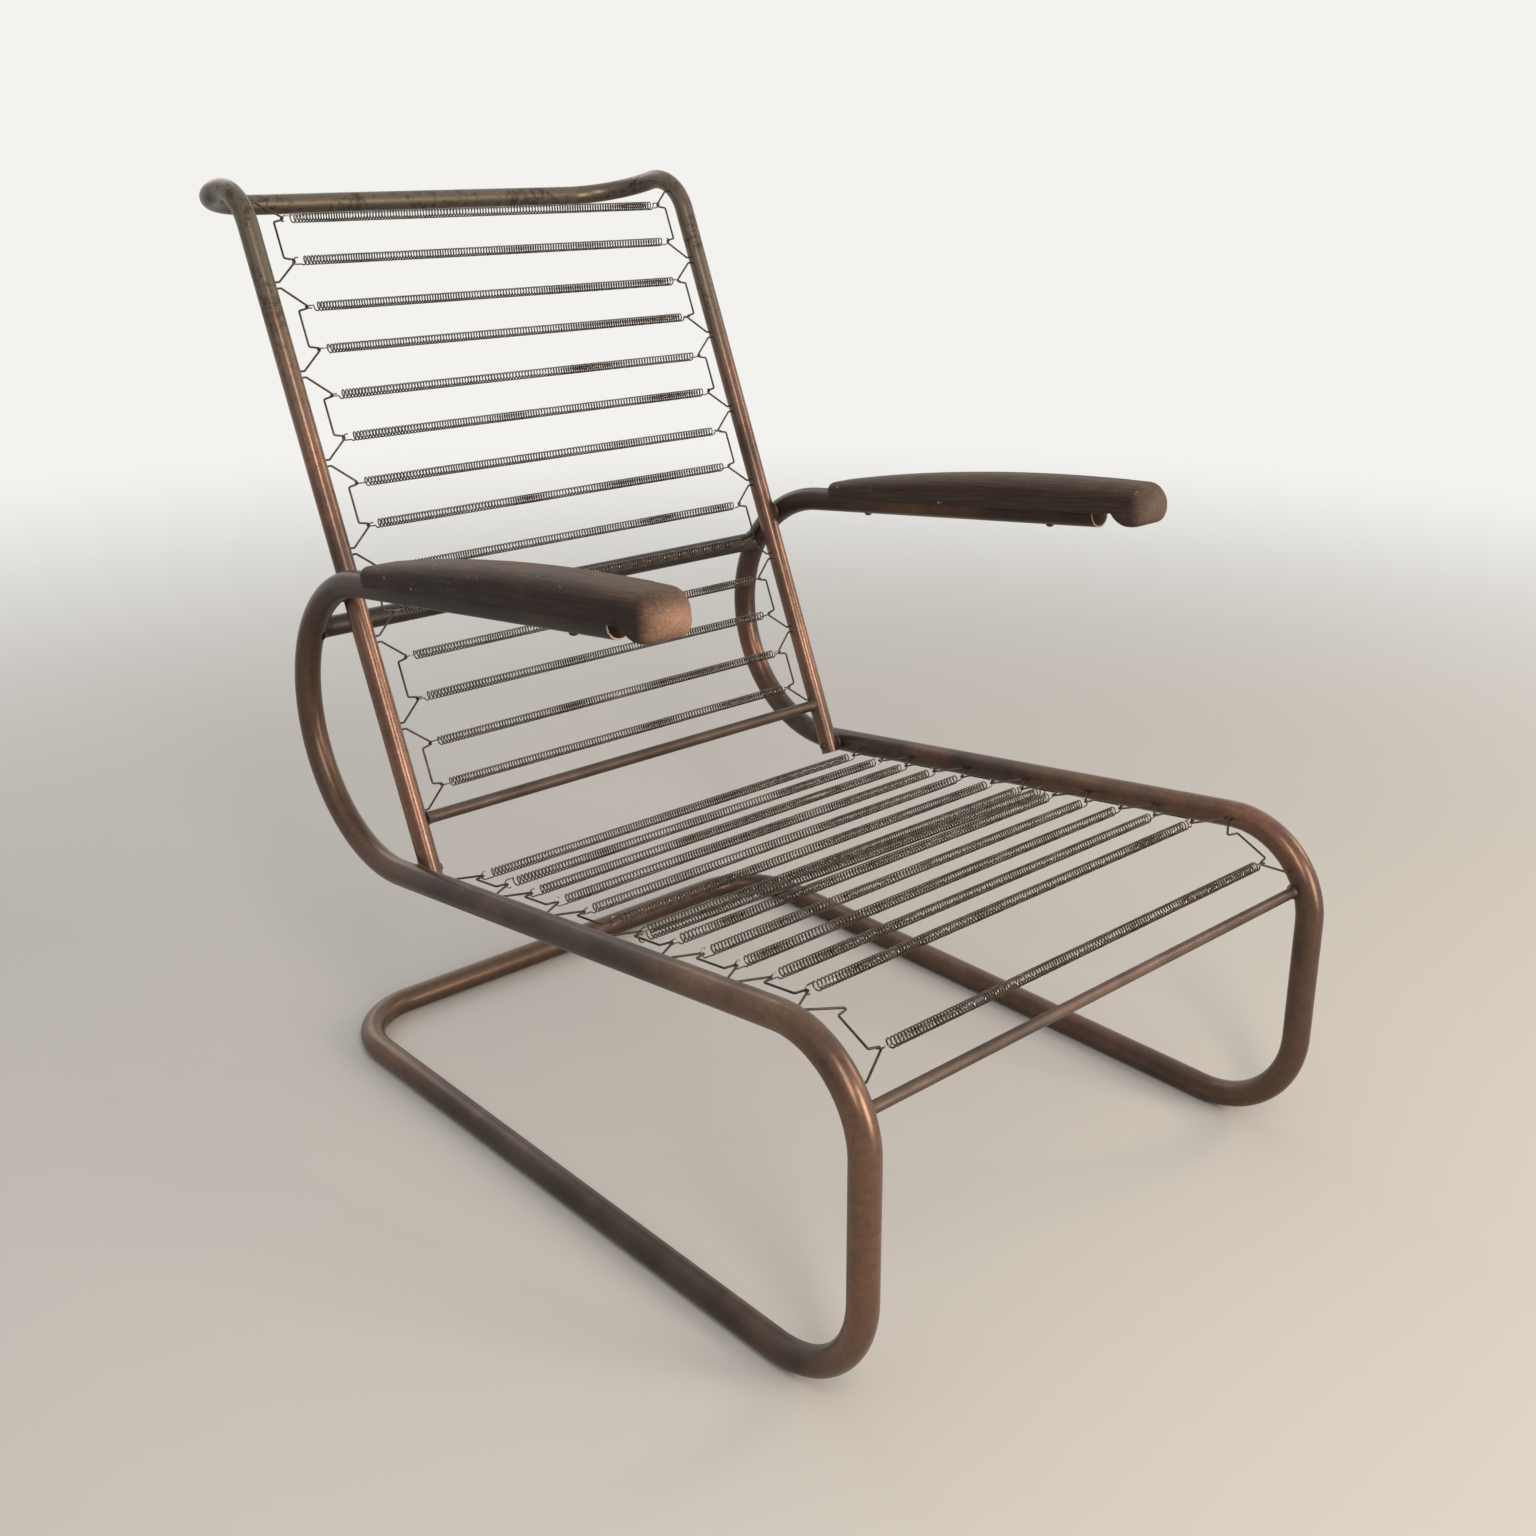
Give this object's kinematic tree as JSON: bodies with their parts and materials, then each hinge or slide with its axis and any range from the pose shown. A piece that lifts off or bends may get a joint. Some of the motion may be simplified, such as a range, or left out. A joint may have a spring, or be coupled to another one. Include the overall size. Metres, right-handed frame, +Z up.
{
  "type": "spring-seat cantilever armchair",
  "caption": "Cantilever lounge chair of bent copper-plated steel tube, with bare extension springs hooked across its seat and leaning back, and crowned wooden armrests.",
  "frame": {"origin": "on the floor under the middle of the chair's box", "axes": "+Z up; the sitter faces -Y; +X towards the sitter's left armrest"},
  "size_m": [0.616, 1.0062, 0.8477],
  "materials": {
    "coppered_tube": "copper-plated steel tube with a dark brown patina, half gloss",
    "coppered_rod": "copper-plated steel rod with a dark brown patina",
    "dark_tube": "darkened steel tube",
    "spring_wire": "grey-brown spring steel",
    "clip_wire": "dark grey steel wire",
    "stained_wood": "dark brown stain, worn lighter on top and at the nose",
    "brazing_metal": "smooth brazing, patinated with the tube",
    "fastener_steel": "dull steel"
  },
  "bodies": {
    "root": {"arm_loop_brazing": "brazing_metal", "armrest_left": "stained_wood", "armrest_right": "stained_wood", "armrest_screws": "fastener_steel", "back_clips_left": "clip_wire", "back_clips_right": "clip_wire", "back_spring_01": "spring_wire", "back_spring_02": "spring_wire", "back_spring_03": "spring_wire", "back_spring_04": "spring_wire", "back_spring_05": "spring_wire", "back_spring_06": "spring_wire", "back_spring_07": "spring_wire", "back_spring_08": "spring_wire", "back_spring_09": "spring_wire", "back_spring_10": "spring_wire", "back_spring_11": "spring_wire", "back_spring_12": "spring_wire", "back_spring_13": "spring_wire", "back_spring_14": "spring_wire", "back_tube": "coppered_tube", "frame_sleeve": "fastener_steel", "frame_tube_left": "coppered_tube", "frame_tube_right": "coppered_tube", "front_rod": "coppered_rod", "lower_back_rod": "coppered_rod", "rear_cross_tube": "dark_tube", "seat_clips_left": "clip_wire", "seat_clips_right": "clip_wire", "seat_rail_brazing": "brazing_metal", "seat_spring_01": "spring_wire", "seat_spring_02": "spring_wire", "seat_spring_03": "spring_wire", "seat_spring_04": "spring_wire", "seat_spring_05": "spring_wire", "seat_spring_06": "spring_wire", "seat_spring_07": "spring_wire", "seat_spring_08": "spring_wire", "seat_spring_09": "spring_wire", "seat_spring_10": "spring_wire", "seat_spring_11": "spring_wire", "seat_spring_12": "spring_wire", "seat_spring_13_moved": "spring_wire", "seat_spring_14": "spring_wire", "upright_rivets": "fastener_steel"}
  },
  "joints": []
}
